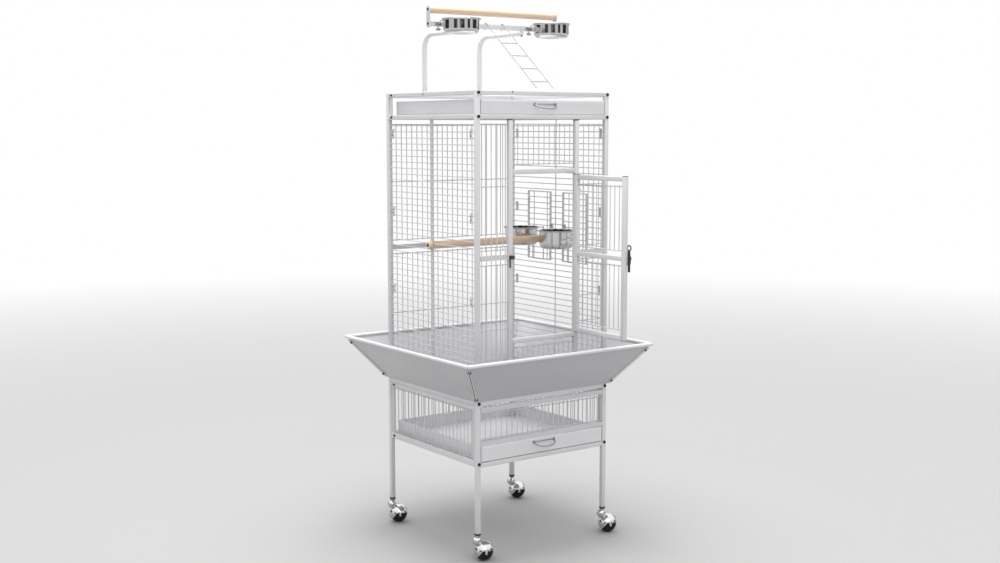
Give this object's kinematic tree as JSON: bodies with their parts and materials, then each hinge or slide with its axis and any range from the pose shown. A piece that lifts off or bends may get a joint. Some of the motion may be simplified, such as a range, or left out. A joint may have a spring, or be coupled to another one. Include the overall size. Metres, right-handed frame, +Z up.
{
  "type": "bird cage on stand",
  "caption": "Tall square wire bird cage on a rolling stand, with a hinged front door, sloped seed guard, slide-out trays and a play top with perch, bowls and a wire ladder.",
  "frame": {"origin": "on the floor under the middle of the square cage body, between the four casters", "axes": "+Z up; X along the front, with the door's hinge on +X; +Y from the front to the back"},
  "size_m": [0.748, 0.9075, 1.75],
  "materials": {
    "frame_white": "white powder coat, satin",
    "wire_white": "white powder coat on wire",
    "guard_sheet": "white powder coat on sheet",
    "guard_trim": "white powder coat",
    "tray_sheet": "white powder coat on sheet",
    "handle_steel": "grey bent wire, satin",
    "ladder_wire": "grey bent wire, satin",
    "holder_steel": "zinc plated wire and clamp",
    "bowl_steel": "polished stainless steel",
    "perch_wood": "smooth pale hardwood",
    "bolt_black": "black socket-head bolt",
    "latch_black": "black latch",
    "caster_chrome": "bright chrome plate",
    "wheel_black": "black moulded wheel",
    "collar_black": "black moulded insert"
  },
  "bodies": {
    "cage": {"corner_posts": "frame_white", "legs": "frame_white", "top_rails": "frame_white", "cage_rails": "frame_white", "stand_rails": "frame_white", "frame_bolts": "bolt_black", "wall_clips": "frame_white", "left_wall_grille": "wire_white", "right_wall_grille": "wire_white", "back_wall_grille": "wire_white", "ceiling_grille": "wire_white", "door_jambs": "frame_white", "door_cross_rails": "frame_white", "front_grille_left": "wire_white", "front_grille_right": "wire_white", "front_grille_top": "wire_white", "front_grille_bottom": "wire_white", "door_hinge_pins": "frame_white", "latch_keeper": "latch_black", "seed_guard_front": "guard_sheet", "seed_guard_back": "guard_sheet", "seed_guard_left": "guard_sheet", "seed_guard_right": "guard_sheet", "seed_guard_corners": "guard_trim", "runners_and_stops": "frame_white", "stand_grille_left": "wire_white", "stand_grille_right": "wire_white", "stand_grille_back": "wire_white", "stand_grille_front": "wire_white", "play_bowl_holders": "holder_steel", "inner_bowl_holders": "wire_white", "inner_perch": "perch_wood", "play_perch": "perch_wood", "play_arms": "frame_white", "play_bar": "frame_white", "perch_brackets": "frame_white", "caster_collars": "collar_black"},
    "front_door": {"front_door": "frame_white", "latch_plate": "latch_black"},
    "latch": {"latch_lever": "latch_black"},
    "feeder_front": {"feeder_door_front": "wire_white"},
    "feeder_back": {"feeder_door_back": "wire_white"},
    "bowl_play_left": {"play_bowl_left": "bowl_steel"},
    "bowl_play_right": {"play_bowl_right": "bowl_steel"},
    "bowl_inner_front": {"inner_bowl_front": "bowl_steel"},
    "bowl_inner_back": {"inner_bowl_back": "bowl_steel"},
    "ladder": {"ladder": "ladder_wire"},
    "top_tray": {"top_tray": "tray_sheet", "top_tray_handle": "handle_steel"},
    "drawer": {"drawer": "tray_sheet", "drawer_handle": "handle_steel"},
    "floor_grate": {"floor_grate": "wire_white"},
    "caster_front_left": {"caster_hood_front_left": "caster_chrome"},
    "wheel_front_left": {"caster_wheel_front_left": "wheel_black"},
    "caster_front_right": {"caster_hood_front_right": "caster_chrome"},
    "wheel_front_right": {"caster_wheel_front_right": "wheel_black"},
    "caster_back_left": {"caster_hood_back_left": "caster_chrome"},
    "wheel_back_left": {"caster_wheel_back_left": "wheel_black"},
    "caster_back_right": {"caster_hood_back_right": "caster_chrome"},
    "wheel_back_right": {"caster_wheel_back_right": "wheel_black"}
  },
  "joints": [
    {"name": "front_door_hinge", "type": "hinge", "parent": "cage", "child": "front_door", "pos_m": [0.13, -0.27, 0.95], "axis": [0, 0, 1], "range_deg": [-90, 80]},
    {"name": "latch_turn", "type": "hinge", "parent": "front_door", "child": "latch", "pos_m": [0.1275, -0.5235, 0.9585], "axis": [-1, 0, 0], "range_deg": [0, 90]},
    {"name": "feeder_front_hinge", "type": "hinge", "parent": "cage", "child": "feeder_front", "pos_m": [0.262, -0.16, 1.022], "axis": [0, 0, -1], "range_deg": [0, 110]},
    {"name": "feeder_back_hinge", "type": "hinge", "parent": "cage", "child": "feeder_back", "pos_m": [0.262, 0.16, 1.022], "axis": [0, 0, 1], "range_deg": [0, 110]},
    {"name": "bowl_play_left_lift", "type": "slide", "parent": "cage", "child": "bowl_play_left", "axis": [0, 0, 1], "range_m": [0, 0.1]},
    {"name": "bowl_play_right_lift", "type": "slide", "parent": "cage", "child": "bowl_play_right", "axis": [0, 0, 1], "range_m": [0, 0.1]},
    {"name": "bowl_inner_front_lift", "type": "slide", "parent": "cage", "child": "bowl_inner_front", "axis": [0, 0, 1], "range_m": [0, 0.09]},
    {"name": "bowl_inner_back_lift", "type": "slide", "parent": "cage", "child": "bowl_inner_back", "axis": [0, 0, 1], "range_m": [0, 0.09]},
    {"name": "ladder_lift", "type": "hinge", "parent": "cage", "child": "ladder", "pos_m": [0, 0.012, 1.691], "axis": [-1, 0, 0], "range_deg": [0, 85]},
    {"name": "top_tray_slide", "type": "slide", "parent": "cage", "child": "top_tray", "axis": [0, -1, 0], "range_m": [0, 0.45]},
    {"name": "drawer_slide", "type": "slide", "parent": "cage", "child": "drawer", "axis": [0, -1, 0], "range_m": [0, 0.45]},
    {"name": "floor_grate_slide", "type": "slide", "parent": "cage", "child": "floor_grate", "axis": [0, -1, 0], "range_m": [0, 0.45]},
    {"name": "swivel_front_left", "type": "hinge", "parent": "cage", "child": "caster_front_left", "pos_m": [-0.257, -0.257, 0.08], "axis": [0, 0, 1], "continuous": true},
    {"name": "roll_front_left", "type": "hinge", "parent": "caster_front_left", "child": "wheel_front_left", "pos_m": [-0.23821, -0.26384, 0.03], "axis": [0.342, 0.9397, 0], "continuous": true},
    {"name": "swivel_front_right", "type": "hinge", "parent": "cage", "child": "caster_front_right", "pos_m": [0.257, -0.257, 0.08], "axis": [0, 0, 1], "continuous": true},
    {"name": "roll_front_right", "type": "hinge", "parent": "caster_front_right", "child": "wheel_front_right", "pos_m": [0.27579, -0.26384, 0.03], "axis": [0.342, 0.9397, 0], "continuous": true},
    {"name": "swivel_back_left", "type": "hinge", "parent": "cage", "child": "caster_back_left", "pos_m": [-0.257, 0.257, 0.08], "axis": [0, 0, 1], "continuous": true},
    {"name": "roll_back_left", "type": "hinge", "parent": "caster_back_left", "child": "wheel_back_left", "pos_m": [-0.23821, 0.25016, 0.03], "axis": [0.342, 0.9397, 0], "continuous": true},
    {"name": "swivel_back_right", "type": "hinge", "parent": "cage", "child": "caster_back_right", "pos_m": [0.257, 0.257, 0.08], "axis": [0, 0, 1], "continuous": true},
    {"name": "roll_back_right", "type": "hinge", "parent": "caster_back_right", "child": "wheel_back_right", "pos_m": [0.27579, 0.25016, 0.03], "axis": [0.342, 0.9397, 0], "continuous": true}
  ]
}
